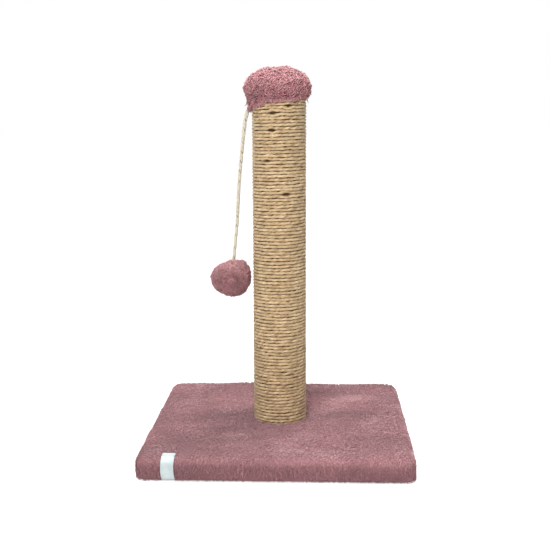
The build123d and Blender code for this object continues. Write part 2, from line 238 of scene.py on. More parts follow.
def ramp(nodes, links, source, stops):
    """A colour ramp driven by a value."""
    node = nodes.new("ShaderNodeValToRGB")
    links.new(source, node.inputs["Fac"])
    node.color_ramp.elements[0].position = stops[0][0]
    node.color_ramp.elements[0].color = (*stops[0][1], 1)
    node.color_ramp.elements[1].position = stops[-1][0]
    node.color_ramp.elements[1].color = (*stops[-1][1], 1)
    for place, colour in stops[1:-1]:
        node.color_ramp.elements.new(place).color = (*colour, 1)
    return node.outputs["Color"]


def coords(nodes):
    """The object's own coordinates, which are metres in the shared frame."""
    return nodes.new("ShaderNodeTexCoord").outputs["Object"]


def attribute(nodes, name, output):
    """A value or a vector that is kept on the mesh's points."""
    node = nodes.new("ShaderNodeAttribute")
    node.attribute_name = name
    return node.outputs[output]


def noise(nodes, links, vector, scale, detail=3.0, rough=0.55, stretch=None):
    """A noise value, stretched along an axis if asked."""
    if stretch is not None:
        mapping = nodes.new("ShaderNodeMapping")
        mapping.inputs["Scale"].default_value = stretch
        links.new(vector, mapping.inputs["Vector"])
        vector = mapping.outputs["Vector"]
    node = nodes.new("ShaderNodeTexNoise")
    node.inputs["Scale"].default_value = scale
    node.inputs["Detail"].default_value = detail
    node.inputs["Roughness"].default_value = rough
    links.new(vector, node.inputs["Vector"])
    return node.outputs["Fac"]


def darken(nodes, links, share, first, second):
    """A colour multiplied by another, by a share."""
    node = nodes.new("ShaderNodeMix")
    node.data_type = "RGBA"
    node.blend_type = "MULTIPLY"
    node.inputs[0].default_value = share
    links.new(first, node.inputs[6])
    links.new(second, node.inputs[7])
    return node.outputs[2]


def bump(nodes, links, shader, height, strength, distance):
    """Small relief from a value."""
    node = nodes.new("ShaderNodeBump")
    node.inputs["Strength"].default_value = strength
    node.inputs["Distance"].default_value = distance
    links.new(height, node.inputs["Height"])
    links.new(node.outputs["Normal"], shader.inputs["Normal"])


WHITE = (1.0, 1.0, 1.0)


def plush_material(name, dark, middle, light, patch_scale, patch_depth, patch_shape=(1.0, 1.0, 1.0)):
    """Long-fibred plush: dark between its strands, a painted shade deep in the pile, lighter at their tips, with
    patches of painted shade and light where the nap is brushed.
    """
    material, nodes, links, shader = new_material(
        name, 0.85, Sheen_Weight=0.12, Sheen_Roughness=0.5, Specular_IOR_Level=0.15
    )
    tone = attribute(nodes, "tone", "Fac")
    colour = ramp(nodes, links, tone, [(0.0, dark), (0.55, middle), (1.0, light)])
    where = coords(nodes)
    # Patches of painted shade and light where the nap is brushed
    painted_nap_shade = noise(nodes, links, where, patch_scale, stretch=patch_shape)
    patches = ramp(nodes, links, painted_nap_shade, [(0.36, (patch_depth,) * 3), (0.62, WHITE)])
    colour = darken(nodes, links, 1.0, colour, patches)
    fuzz = noise(nodes, links, where, 420.0, detail=2.0)
    fine = ramp(nodes, links, fuzz, [(0.3, (0.78, 0.76, 0.78)), (0.7, WHITE)])
    colour = darken(nodes, links, 0.7, colour, fine)
    links.new(colour, shader.inputs["Base Color"])
    relief = noise(nodes, links, where, 1400.0, detail=2.0)
    bump(nodes, links, shader, relief, strength=0.35, distance=0.0006)
    return material


def jute_material():
    """Twisted jute: fibres along the strand, pale and dark stretches, and a little waxed shine."""
    material, nodes, links, shader = new_material("jute_rope", 0.72, Specular_IOR_Level=0.3, Sheen_Weight=0.15)
    lay = attribute(nodes, "lay", "Vector")
    tone = attribute(nodes, "tone", "Fac")
    fibre = noise(nodes, links, lay, 1.0, detail=4.0, rough=0.65, stretch=(0.22, 5.5, 1.0))
    stretches = noise(nodes, links, lay, 1.0, detail=3.0, rough=0.6, stretch=(0.035, 0.6, 1.0))
    jute_stops = [(0.28, (0.35, 0.228, 0.11)), (0.5, (0.62, 0.456, 0.265)), (0.72, (0.92, 0.745, 0.485))]
    colour = ramp(nodes, links, fibre, jute_stops)
    patches = ramp(nodes, links, stretches, [(0.32, (0.58, 0.51, 0.42)), (0.56, WHITE)])
    colour = darken(nodes, links, 0.85, colour, patches)
    shade_stops = [(0.0, (0.12, 0.085, 0.05)), (0.35, (0.52, 0.46, 0.39)), (1.0, WHITE)]
    colour = darken(nodes, links, 1.0, colour, ramp(nodes, links, tone, shade_stops))
    links.new(colour, shader.inputs["Base Color"])
    bump(nodes, links, shader, fibre, strength=0.5, distance=0.0004)
    return material


def cotton_material(name, dark, light):
    """Soft twisted cotton, with fibres along the strand and painted shade in the grooves between strands."""
    material, nodes, links, shader = new_material(name, 0.9, Sheen_Weight=0.3, Specular_IOR_Level=0.25)
    lay = attribute(nodes, "lay", "Vector")
    fibre = noise(nodes, links, lay, 1.0, detail=3.0, rough=0.6, stretch=(0.4, 4.0, 1.0))
    colour = ramp(nodes, links, fibre, [(0.3, dark), (0.65, light)])
    tone = attribute(nodes, "tone", "Fac")
    # Painted shade in the grooves between the strands
    groove_shade = ramp(nodes, links, tone, [(0.0, (0.38, 0.35, 0.30)), (0.6, WHITE)])
    colour = darken(nodes, links, 1.0, colour, groove_shade)
    links.new(colour, shader.inputs["Base Color"])
    bump(nodes, links, shader, fibre, strength=0.4, distance=0.0003)
    return material


def ribbon_material():
    """White satin ribbon with fine cross ribs, slightly creased with painted crease shade, and bare."""
    material, nodes, links, shader = new_material("white_ribbon", 0.5, Sheen_Weight=0.25, Specular_IOR_Level=0.4)
    where = coords(nodes)
    ribs = nodes.new("ShaderNodeTexWave")
    ribs.bands_direction = "Z"
    ribs.inputs["Scale"].default_value = 420.0
    ribs.inputs["Distortion"].default_value = 0.6
    links.new(where, ribs.inputs["Vector"])
    # Painted shade of soft creases
    crease_shade = noise(nodes, links, where, 90.0)
    soft = ramp(nodes, links, crease_shade, [(0.3, (0.42, 0.48, 0.49)), (0.65, (0.53, 0.60, 0.60))])
    colour = darken(nodes, links, 0.18, soft, ribs.outputs["Color"])
    links.new(colour, shader.inputs["Base Color"])
    bump(nodes, links, shader, ribs.outputs["Fac"], strength=0.25, distance=0.00015)
    return material


def wood_material(name, dark, light, stretch):
    """Plain board: long grain, fine pores and a few darker streaks."""
    material, nodes, links, shader = new_material(name, 0.7, Specular_IOR_Level=0.3)
    where = coords(nodes)
    grain = noise(nodes, links, where, 60.0, detail=6.0, rough=0.6, stretch=stretch)
    pores = noise(nodes, links, where, 700.0, detail=2.0, rough=0.6, stretch=stretch)
    colour = ramp(nodes, links, grain, [(0.3, dark), (0.52, light), (0.7, tuple(0.85 * c for c in light))])
    specks = ramp(nodes, links, pores, [(0.32, (0.72, 0.66, 0.6)), (0.45, WHITE)])
    colour = darken(nodes, links, 0.8, colour, specks)
    links.new(colour, shader.inputs["Base Color"])
    bump(nodes, links, shader, grain, strength=0.3, distance=0.0005)
    return material


def steel_material(name, colour, rough):
    """Plated steel, cloudy and lightly scratched."""
    material, nodes, links, shader = new_material(name, rough, Metallic=1.0)
    where = coords(nodes)
    cloud = noise(nodes, links, where, 160.0, detail=4.0)
    shade = ramp(nodes, links, cloud, [(0.3, tuple(0.72 * c for c in colour)), (0.7, colour)])
    links.new(shade, shader.inputs["Base Color"])
    gloss = nodes.new("ShaderNodeMapRange")
    gloss.inputs["To Min"].default_value = rough - 0.08
    gloss.inputs["To Max"].default_value = rough + 0.15
    links.new(cloud, gloss.inputs["Value"])
    links.new(gloss.outputs["Result"], shader.inputs["Roughness"])
    scratches = noise(nodes, links, where, 900.0, detail=2.0, rough=0.5, stretch=(1.0, 0.08, 1.0))
    bump(nodes, links, shader, scratches, strength=0.2, distance=0.0001)
    return material


def cardboard_material():
    """Wound cardboard, in long spiral bands with pressed fibres."""
    material, nodes, links, shader = new_material("cardboard", 0.9, Specular_IOR_Level=0.2)
    where = coords(nodes)
    fibres = noise(nodes, links, where, 500.0, detail=4.0, rough=0.65, stretch=(1.0, 1.0, 0.2))
    colour = ramp(nodes, links, fibres, [(0.3, (0.27, 0.17, 0.095)), (0.7, (0.47, 0.32, 0.19))])
    links.new(colour, shader.inputs["Base Color"])
    bump(nodes, links, shader, fibres, strength=0.3, distance=0.0003)
    return material


base_plush = plush_material(
    "base_plush", (0.25, 0.088, 0.10), (0.50, 0.272, 0.288), (0.73, 0.47, 0.488),
    patch_scale=11.0, patch_depth=0.76, patch_shape=(0.5, 1.5, 1.0),
)
cap_plush = plush_material(
    "cap_plush", (0.20, 0.06, 0.075), (0.50, 0.225, 0.24), (0.92, 0.56, 0.56), patch_scale=26.0, patch_depth=0.84
)
ball_plush = plush_material(
    "ball_plush", (0.20, 0.07, 0.08), (0.52, 0.255, 0.265), (0.92, 0.57, 0.57), patch_scale=40.0, patch_depth=0.66
)
jute = jute_material()
cord_cotton = cotton_material("toy_cord_cotton", (0.42, 0.38, 0.30), (0.66, 0.61, 0.50))
# The top knot is the cord's cotton in dark mauve, painted shade under the cap's hem
knot_cotton_in_painted_shade = cotton_material("knot_cotton_in_painted_shade", (0.20, 0.11, 0.11), (0.36, 0.21, 0.21))
ribbon_white = ribbon_material()
board_wood = wood_material("board_wood", (0.36, 0.22, 0.11), (0.60, 0.43, 0.26), (1.0, 0.08, 1.0))
plug_wood = wood_material("plug_wood", (0.42, 0.28, 0.15), (0.66, 0.49, 0.31), (0.1, 1.0, 1.0))
cardboard = cardboard_material()
zinc_steel = steel_material("zinc_steel", (0.62, 0.62, 0.60), 0.35)
staple_steel = steel_material("staple_steel", (0.55, 0.55, 0.56), 0.3)

# Camera

CAMERA_PLACE = (0.05255, -1.33817, 0.44806)
YAW = math.radians(-2.518)
PITCH = math.radians(9.201)
ROLL = math.radians(-0.24)
ahead = Vector((math.sin(YAW) * math.cos(PITCH), math.cos(YAW) * math.cos(PITCH), -math.sin(PITCH)))
level = Vector((math.cos(YAW), -math.sin(YAW), 0))
above = level.cross(ahead)
right = level * math.cos(ROLL) + above * math.sin(ROLL)
top = above * math.cos(ROLL) - level * math.sin(ROLL)

camera_data = bpy.data.cameras.new("camera")
camera_data.lens = 64.899
camera_data.sensor_width = 36.0
camera_data.clip_start = 0.05
camera_data.clip_end = 60.0
camera = bpy.data.objects.new("camera", camera_data)
camera_turn = Matrix((right, top, -ahead)).transposed().to_4x4()
camera.matrix_world = Matrix.Translation(CAMERA_PLACE) @ camera_turn
bpy.context.scene.collection.objects.link(camera)
bpy.context.scene.camera = camera

# Toy cord: a smooth hanging line with three twisted strands along it

KNOT_REACH = 3.2
KNOT_THICKNESS = 1.25
BALL_KNOT_DROP = BALL_DROP - 14.23


def toy_point(outward, drop):
    """A point of the toy's own plane in the shared frame, in millimetres."""
    return TOY_PIVOT + TOY_ACROSS * outward + TOY_DOWN * drop


route_curve = bpy.data.curves.new("cord_route", "CURVE")
route_curve.dimensions = "3D"
route_curve.resolution_u = 40
route_spline = route_curve.splines.new("NURBS")
route_spline.points.add(len(CORD_ROUTE) - 1)
for knot_point, (outward, drop) in zip(route_spline.points, CORD_ROUTE):
    knot_point.co = (*(toy_point(outward, drop) * MM), 1)
route_spline.order_u = 3
route_spline.use_endpoint_u = True
route_object = bpy.data.objects.new("cord_route", route_curve)
bpy.context.scene.collection.objects.link(route_object)
bpy.context.view_layer.update()
route_mesh = bpy.data.meshes.new_from_object(route_object)
cord_line = np.array([v.co[:] for v in route_mesh.vertices]) / MM
bpy.data.meshes.remove(route_mesh)
bpy.data.objects.remove(route_object)

cord_steps, cord_line = resampled(cord_line, 420)


def plied(line, steps, strands, offset, radius, lay, sides, wobble, seed):
    """Strands twisted round a line, with the place along and round each for its fibres."""
    rng = np.random.default_rng(seed)
    ways = unit(np.gradient(line, axis=0))
    side = unit(np.cross(ways, np.array([0.0, 1.0, 0.0])))
    other = np.cross(side, ways)
    parts = []
    lays = []
    for strand in range(strands):
        turn = 2 * math.pi * (steps / lay + strand / strands)
        turn = turn + wobble * np.sin(steps / (1.7 * lay) + rng.uniform(0, 6))
        path = line + (side * np.cos(turn)[:, None] + other * np.sin(turn)[:, None]) * offset
        points, quads = tubes(path[None], np.full((1, len(steps)), radius), sides)
        around = np.tile(np.arange(sides) / sides, len(steps))
        away = np.linalg.norm(points - np.repeat(line, sides, axis=0), axis=1)
        # The tone is low near the line the strands twist round, painted shade in the grooves between strands
        parts.append((points, quads, ease(0.45 * (offset + radius), 0.98 * (offset + radius), away)))
        lays.append(np.column_stack([np.repeat(steps, sides), around + strand * 3.7, np.zeros(len(points))]))
    points, quads, tone = merge(parts)
    return points, quads, tone, np.concatenate(lays)


points, quads, tone, lays = plied(
    cord_line, cord_steps, strands=3, offset=1.42, radius=1.3, lay=13.0, sides=10, wobble=0.5, seed=3
)
cord_piece = make_mesh("toy_cord_strands", points, quads, cord_cotton, tone, lays)
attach(cord_piece, "cord")
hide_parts("toy_cord")


def trefoil(centre, reach, radius, axis, sides=10):
    """An overhand knot pulled small, as one closed tube."""
    turn = np.linspace(0, 2 * math.pi, 121)[:-1]
    loop = np.stack(
        [np.sin(turn) + 2 * np.sin(2 * turn), np.cos(turn) - 2 * np.cos(2 * turn), -np.sin(3 * turn) * 1.3], axis=1
    )
    loop = loop * (reach - radius) / np.linalg.norm(loop, axis=1).max()
    up = unit(axis)
    side = unit(np.cross(up, [0.0, 1.0, 0.0]))
    across = np.cross(up, side)
    path = centre + loop[:, :1] * side + loop[:, 1:2] * across + loop[:, 2:] * up
    path = np.concatenate([path, path[:2]])
    points, quads = tubes(path[None], np.full((1, len(path)), radius), sides)
    along = np.repeat(np.linspace(0, 40, len(path)), sides)
    around = np.tile(np.arange(sides) / sides, len(path))
    return points, quads, np.ones(len(points)), np.stack([along, around, np.zeros_like(around)], axis=1)


points, quads, tone, lays = trefoil(TOY_PIVOT, KNOT_REACH, KNOT_THICKNESS, TOY_DOWN)
top_knot_piece = make_mesh("top_knot_loops", points, quads, knot_cotton_in_painted_shade, tone, lays)
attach(top_knot_piece, "knot")
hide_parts("top_knot")

points, quads, tone, lays = trefoil(toy_point(0, BALL_KNOT_DROP), KNOT_REACH, KNOT_THICKNESS, TOY_DOWN)
ball_knot_piece = make_mesh("ball_knot_loops", points, quads, cord_cotton, tone, lays)
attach(ball_knot_piece, "cord")
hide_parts("ball_knot")

# Rope, wound the whole height of the post from three twisted strands

# From either end of the winding to the middle of its first turn
ROPE_END = 2.2
ROPE_MIDDLE = ROPE_INNER + 2.05
STRAND_LAY = 15.0
STRAND_SIDES = 6
POINTS_PER_TURN = 84
WINDING_STARTS = 90.0
SHADE_SLEEVE_RADIUS = 32.5
SHADE_SLEEVE_SIDES = 96

# Angle in degrees, height and half width of the few places where the winding opens
OPENINGS = (
    (-102, 450.3, 2.0),
    (-104, 428.3, 2.0),
    (-67, 461.3, 1.5),
    (-115, 387.3, 1.6),
    (-72, 344.9, 2.2),
    (40, 300.0, 1.5),
    (150, 200.0, 1.6),
)


def opening_middle(spot_angle, spot_height):
    """The height halfway between the two turns that part at an opening."""
    share = (spot_angle - WINDING_STARTS) % 360 / 360
    turn_below = math.floor((spot_height - ROPE_FOOT - ROPE_END) / rope_rise - share)
    return ROPE_FOOT + ROPE_END + rope_rise * (turn_below + share + 0.5)


def opening_shade(points):
    """The tone of the rope's surface, which is dark inside the openings."""
    tone = np.ones(len(points))
    for spot_angle, spot_height, size in OPENINGS:
        near = degrees_from(np.arctan2(points[:, 1], points[:, 0]), spot_angle)
        away = points[:, 2] - opening_middle(spot_angle, spot_height)
        tone -= 0.47 * size * np.exp(-((near / 6.5) ** 4)) * np.exp(-((away / 2.4) ** 6))
    return np.clip(tone, 0.01, 1)


def rope_gaps(angle, height):
    """How far a turn is pushed up or down beside the few places where the winding opens."""
    push = np.zeros_like(height)
    for spot_angle, spot_height, size in OPENINGS:
        near = degrees_from(angle, spot_angle)
        away = height - opening_middle(spot_angle, spot_height)
        push += size * np.exp(-((near / 8.0) ** 2)) * np.tanh(away) * np.exp(-np.abs(away) / 5.0)
    return push


turn_count = int((ROPE_TOP - ROPE_END - ROPE_FOOT - ROPE_END) / ROPE_PITCH)
rope_rise = (ROPE_TOP - ROPE_FOOT - 2 * ROPE_END) / turn_count
marks = np.linspace(0, turn_count, turn_count * POINTS_PER_TURN + 1)
angle = math.radians(WINDING_STARTS) + 2 * math.pi * marks
rope_steps = marks * (2 * math.pi * ROPE_MIDDLE)
height = ROPE_FOOT + ROPE_END + rope_rise * marks
# Places for the noise, so far apart from turn to turn that each turn varies on its own
turn_points = circle(angle, 60, height * 6)
sway = 0.34 * waves(turn_points, 90.0, 11) + 0.24 * waves(turn_points, 28.0, 12)
level_height = height + sway + rope_gaps(angle, height)
rope_radius = ROPE_MIDDLE + 0.12 * waves(turn_points, 40.0, 13)
rope_middle = circle(angle, rope_radius, level_height)
outward = circle(angle, 1, 0)
upward = np.array([0.0, 0.0, 1.0])
thickness = 1.0 + 0.09 * waves(turn_points, 22.0, 14)
rope_parts = []
rope_lays = []
for strand in range(3):
    twist = 2 * math.pi * (rope_steps / STRAND_LAY + strand / 3) + 0.9 * waves(turn_points, 60.0, 20 + strand)
    offset = 0.98 * thickness
    path = rope_middle + outward * (np.cos(twist) * offset)[:, None] + upward * (np.sin(twist) * offset)[:, None]
    points, quads = tubes(path[None], (1.26 * thickness)[None], STRAND_SIDES)
    rough_skin = 0.06 * waves(points, 2.2, 30 + strand)
    points = points + unit(points * np.array([1, 1, 0])) * rough_skin[:, None]
    tint = np.clip(0.85 + 0.22 * waves(turn_points, 34.0, 40 + strand), 0.3, 1.1)
    rope_parts.append((points, quads, np.repeat(tint, STRAND_SIDES) * opening_shade(points)))
    around = np.tile(np.arange(STRAND_SIDES) / STRAND_SIDES, len(marks))
    lay_steps, lay_marks = np.repeat(rope_steps, STRAND_SIDES), np.repeat(marks, STRAND_SIDES)
    rope_lays.append(np.stack([lay_steps, around + 2.9 * strand, lay_marks * 0.7], axis=1))

# A near-black sleeve under the turns, painted shade that shows dark in the openings
shade_sleeve_spin = np.linspace(0, 2 * math.pi, SHADE_SLEEVE_SIDES, endpoint=False)
shade_sleeve = np.concatenate([circle(shade_sleeve_spin, SHADE_SLEEVE_RADIUS, end) for end in (ROPE_FOOT + 3.0, ROPE_TOP - 3.0)])
rope_parts.append((shade_sleeve, ring_quads(2, SHADE_SLEEVE_SIDES), np.full(len(shade_sleeve), 0.01)))
rope_lays.append(shade_sleeve * 0.1)
points, quads, tone = merge(rope_parts)
rope_piece = make_mesh("rope_turns", points, quads, jute, tone, np.concatenate(rope_lays))
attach(rope_piece, "stand")
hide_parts("rope_winding")

# Loose fibres that stand off the rope
HAIRS = 1400
HAIR_ROOTS = ROPE_OUTER - 0.4
hair_rng = np.random.default_rng(8)
spin = hair_rng.uniform(0, 2 * math.pi, HAIRS)
place = circle(spin, HAIR_ROOTS, hair_rng.uniform(32, 462, HAIRS))
out = circle(spin, 1, 0)
way = np.stack([-np.sin(spin), np.cos(spin), hair_rng.normal(0, 0.5, HAIRS)], axis=1)
points, quads, _ = pile(
    place, out, way, length=hair_rng.uniform(2, 7, HAIRS), lift=hair_rng.uniform(0.3, 1.4, HAIRS),
    arch=0.6, curl=0.5, turns=0.7, thick=hair_rng.uniform(0.05, 0.1, HAIRS),
    steps=5, sides=3, rng=hair_rng, bend=0.012,
)
rope_hair = make_mesh("rope_fibres", points, quads, jute, np.ones(len(points)), points * 0.3)
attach(rope_hair, "stand")

# Base plush: the cloth folded round the board and its short leaning pile


def square_ring(inset, per_side, per_corner):
    """A rounded square drawn in by an inset, with the same number of points whatever the inset."""
    half = BASE_HALF - inset
    corner = max(BASE_CORNER - inset, 3.0)
    found = []
    for quarter in range(4):
        bend_from = quarter * math.pi / 2
        c, s = math.cos(bend_from), math.sin(bend_from)
        arc = np.linspace(0, math.pi / 2, per_corner)
        x = half - corner + corner * np.cos(arc)
        y = half - corner + corner * np.sin(arc)
        run = np.linspace(0, 1, per_side + 2)[1:-1]
        x = np.concatenate([x, (half - corner) - 2 * (half - corner) * run])
        y = np.concatenate([y, np.full(per_side, half)])
        found.append(np.stack([x * c - y * s, x * s + y * c], axis=1))
    return np.concatenate(found)


PILE_DEPTH = 1.9
PER_SIDE = 190
PER_CORNER = 14
# Heights that tell the hem's underside and the top of the base from the sides
UNDERSIDE = 3
TOPSIDE = 20
TOP_FACE = 27
FIRST_PILE_ROW = 20
TAPE_MIDDLE = -132.5
TAPE_HALF = 8.25
TAPE_TOP = 31.0
SLOT_ACROSS = -154.0
STAPLE_ROW = 158.0
STAPLE_SPACE = 60.0
STAPLE_LAST = 135


def base_profile():
    """Inset and height along the cloth, from the hem's fold under the base up to the foot of the post."""
    rows = [(HEM_WIDTH, 3.4), (HEM_WIDTH + 0.3, 2.2), (HEM_WIDTH - 0.2, 1.0), (HEM_WIDTH - 1.2, 0.35)]
    rows += [(inset, 0.3) for inset in np.linspace(HEM_WIDTH - 3.5, 6.0, 14)]
    rows += [(4.4, 0.5), (3.2, 1.3), (2.4, 2.6), (2.0, 4.2)]
    rows += [(PILE_DEPTH, rise) for rise in np.linspace(6.0, BASE_HEIGHT - BASE_EDGE, 10)]
    arc_radius = BASE_EDGE - PILE_DEPTH
    for bend_angle in np.linspace(0, math.pi / 2, 10)[1:]:
        rise = BASE_HEIGHT - BASE_EDGE + arc_radius * math.sin(bend_angle)
        rows.append((BASE_EDGE - arc_radius * math.cos(bend_angle), rise))
    foot = BASE_HALF - FOOT_RADIUS
    rows += [(inset, BASE_HEIGHT - PILE_DEPTH) for inset in np.linspace(BASE_EDGE + 2.0, foot - 3.0, 72)]
    rows += [(foot - 1.2, BASE_HEIGHT - PILE_DEPTH - 0.6), (foot - 0.3, BASE_HEIGHT - 4.0)]
    rows += [(foot, FOOT_FLOOR + 0.4)]
    return rows


rings = []
for inset, rise in base_profile():
    ring = square_ring(inset, PER_SIDE, PER_CORNER)
    if rise > TOPSIDE:
        reach = np.linalg.norm(ring, axis=1, keepdims=True)
        rounding = ease(95.0, BASE_HALF - FOOT_RADIUS, inset)
        ring = ring / reach * ((1 - rounding) * reach + rounding * (BASE_HALF - inset))
    rings.append(np.column_stack([ring, np.full(len(ring), rise)]))
ring_count, ring_size = len(rings), len(rings[0])
base_points = np.concatenate(rings)

# Lumps over the whole top, with a low ridge towards the back, and a little swell on the sides
upper = ease(8.0, 24.0, base_points[:, 2])
foot_away = np.linalg.norm(base_points[:, :2], axis=1)
settle = ease(FOOT_RADIUS + 1.0, FOOT_RADIUS + 16.0, foot_away)
lumps = 0.55 * waves(base_points, 60.0, 51) + 0.3 * waves(base_points, 17.0, 52)
lumps = lumps + 0.16 * waves(base_points, 5.0, 53)
back = ease(40.0, 165.0, base_points[:, 1])
ridge = np.exp(-(((base_points[:, 0] + 45.0) / 70.0) ** 2))
base_points[:, 2] += upper * settle * (lumps + back * (0.8 + 1.8 * ridge))
edge_away = BASE_HALF - np.abs(base_points[:, :2]).max(axis=1)
side_face = (1 - ease(0.0, 14.0, edge_away)) * ease(2.0, 7.0, base_points[:, 2])
side_push = 0.5 * waves(base_points, 45.0, 54) + 0.2 * waves(base_points, 9.0, 55)
base_points[:, :2] *= 1 + (side_face * side_push / BASE_HALF)[:, None]


def tape_line(height):
    """How far the ribbon sways to the left at a height on the front."""
    share = np.clip((TAPE_TOP - height) / TAPE_TOP, 0, 1)
    return TAPE_MIDDLE - 1.3 * np.sin(math.pi * share) + 0.9 * share


def tape_bed(points):
    """How strongly the cloth is pressed in under the ribbon and close beside it, from 0 to 1."""
    beside = np.abs(points[:, 0] - tape_line(points[:, 2]))
    front = 1 - ease(-156.0, -154.5, points[:, 1])
    return (1 - ease(7.6, 10.4, beside)) * front * ease(1.0, 3.0, points[:, 2])


# The cloth rises a little round the foot of the post and gives way under the ribbon
base_points[:, 2] += 1.5 * np.exp(-(((foot_away - 40.5) / 4.0) ** 2)) * (base_points[:, 2] > TOP_FACE)
press = tape_bed(base_points)
base_points[:, 1] += press * 0.6 * (base_points[:, 2] < TOP_FACE)
base_points[:, 2] -= press * 0.5 * (base_points[:, 2] > TOP_FACE)

# The slot that the ribbon's end goes into, and a crease behind it
slot_beside = np.clip(np.abs(base_points[:, 0] - TAPE_MIDDLE) - 8.5, 0, None)
slot_away = np.hypot((base_points[:, 1] - SLOT_ACROSS) / 1.6, slot_beside / 2.0)
base_points[:, 2] -= 1.9 * np.exp(-(slot_away**2)) * (base_points[:, 2] > TOPSIDE)
crease_away = np.abs((base_points[:, 0] - (TAPE_MIDDLE + 5.0)) - 0.15 * (base_points[:, 1] + 153.0)) / 1.6
crease_run = ease(-156.0, -152.0, base_points[:, 1]) * (1 - ease(-138.0, -118.0, base_points[:, 1]))
base_points[:, 2] -= 1.3 * np.exp(-(crease_away**2)) * crease_run * (base_points[:, 2] > TOPSIDE)

# A dimple in the hem round each staple
outer_reach = np.abs(base_points[:, :2]).max(axis=1)
along_hem = np.abs(base_points[:, :2]).min(axis=1)
off_staple = np.abs((along_hem + STAPLE_SPACE / 2) % STAPLE_SPACE - STAPLE_SPACE / 2)
dimple = np.exp(-(((outer_reach - STAPLE_ROW) / 3.4) ** 4)) * np.exp(-((off_staple / 8.5) ** 4))
base_points[:, 2] += 2.0 * dimple * (along_hem < STAPLE_LAST) * (base_points[:, 2] < UNDERSIDE)
base_quads = ring_quads(ring_count, ring_size)
# The cloth under the pile keeps a low tone, painted shade deep in the pile
skin_tone = np.clip(0.30 + 0.10 * waves(base_points, 4.0, 56), 0, 1)
base_skin = make_mesh("base_cloth", base_points, base_quads, base_plush, skin_tone)
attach(base_skin, "stand")
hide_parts("base_cover")


def nap_way(points, seed, sweep):
    """The way in which the pile is brushed, which turns slowly over the surface."""
    bearing = -math.pi / 2 + sweep * waves(points, 95.0, seed) + 0.45 * waves(points, 14.0, seed + 1)
    return np.stack([np.cos(bearing), np.sin(bearing), np.full(len(points), -0.15)], axis=1)


pile_rng = np.random.default_rng(21)
strand_count = 46000
place, out = scatter(base_points, base_quads[FIRST_PILE_ROW * ring_size :], strand_count, pile_rng)
at_foot = (np.linalg.norm(place[:, :2], axis=1) < FOOT_RADIUS + 0.8) & (place[:, 2] < BASE_HEIGHT - 3.0)
keep = (tape_bed(place) < 0.5) & ~at_foot
place, out = place[keep], out[keep]
count = len(place)
way = nap_way(place, 61, 0.9) + pile_rng.normal(0, 0.45, (count, 3))
way[:, 2] -= 1.2 * (1 - out[:, 2])
length = pile_rng.uniform(2.6, 4.6, count)
lift = pile_rng.uniform(1.5, 2.3, count)
near_foot = np.linalg.norm(place[:, :2], axis=1) < FOOT_RADIUS + 5.0
length = np.where(near_foot, length * 0.85, length)
points, quads, tone = pile(
    place, out, way, length, lift, arch=0.62, curl=0.55, turns=0.8,
    thick=pile_rng.uniform(0.42, 0.68, count), steps=4, sides=3, rng=pile_rng,
)
points[:, 2] = np.maximum(points[:, 2], 0.15)
# Strands on upward faces are lighter and those on the sides darker, painted light from above
tone = tone * np.repeat(0.50 + 0.54 * np.clip(out[:, 2], 0, 1), len(points) // count)
base_pile = make_mesh("base_pile", points, quads, base_plush, tone)
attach(base_pile, "stand")

# Ribbon folded over the front edge, bare on both faces


# The ribbon's line across the front as y and z, from its end in the plush on top to its end under the hem
RIBBON_ROUTE = np.array(
    [(-148.5, 26.6), (-151.5, 27.8), (-154.2, 29.8), (-157.0, 30.7), (-160.5, 30.9), (-164.0, 30.9)]
    + [(-168.2, 30.0), (-171.9, 27.9), (-174.3, 24.8), (-175.3, 21.0), (-175.7, 17.0), (-175.8, 13.5)]
    + [(-175.6, 9.0), (-175.1, 5.2), (-173.9, 2.4), (-171.6, 0.75), (-168.0, 0.35), (-160.0, 0.3)]
)
_, route = resampled(RIBBON_ROUTE, 90)
route = smoothed(route, 6)
across = np.linspace(-TAPE_HALF, TAPE_HALF, 23)
upright = np.abs(unit(np.gradient(route, axis=0))[:, 1])
ribbon_rows = []
for (y, z), steepness in zip(route, upright):
    wave = 0.22 * np.sin(across / 3.1 + y * 0.35 + z * 0.22) + 0.18 * (across / TAPE_HALF) ** 2
    wave = wave * steepness * (y < -165)
    ribbon_rows.append(np.stack([tape_line(z) + across, y - wave, np.full(len(across), z)], axis=1))
ribbon_quads = ring_quads(len(route), len(across), closed=False)
ribbon = make_mesh("side_ribbon", np.concatenate(ribbon_rows), ribbon_quads, ribbon_white)
solid = ribbon.modifiers.new("thickness", "SOLIDIFY")
solid.thickness = 0.35 * MM
solid.offset = 0.0
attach(ribbon, "stand")
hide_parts("side_tape")

# Cap: plush drawn over the top of the post, with a gathered hem

CAP_PROFILE = np.array(
    [(0.0, 0.0), (10.0, 0.2), (18.0, 1.5), (24.5, 3.8), (30.5, 6.8), (35.5, 10.0), (39.5, 13.6), (42.6, 18.6)]
    + [(44.6, 24.0), (45.3, 29.0), (44.2, 34.5), (42.2, 39.5), (40.2, 44.0), (39.2, 50.0), (38.8, 57.0)]
)
# How far the cloth lies inside the outline, which its strands reach
CAP_DEPTH = 3.0
CAP_AROUND = 200
CAP_RINGS = 52
HEM_HEIGHT = 465.6
HEM_TILT = math.tan(math.radians(9.5))
TUCK_HEIGHT = 471.5
cap_steps, cap_outer = resampled(CAP_PROFILE, 240)
cap_outer = smoothed(cap_outer, 40)
cap_run = unit(np.gradient(cap_outer, axis=0))
cap_inner = cap_outer - CAP_DEPTH * np.stack([cap_run[:, 1], -cap_run[:, 0]], axis=1)
cap_inner[:, 0] = np.maximum(cap_inner[:, 0], 0.0)

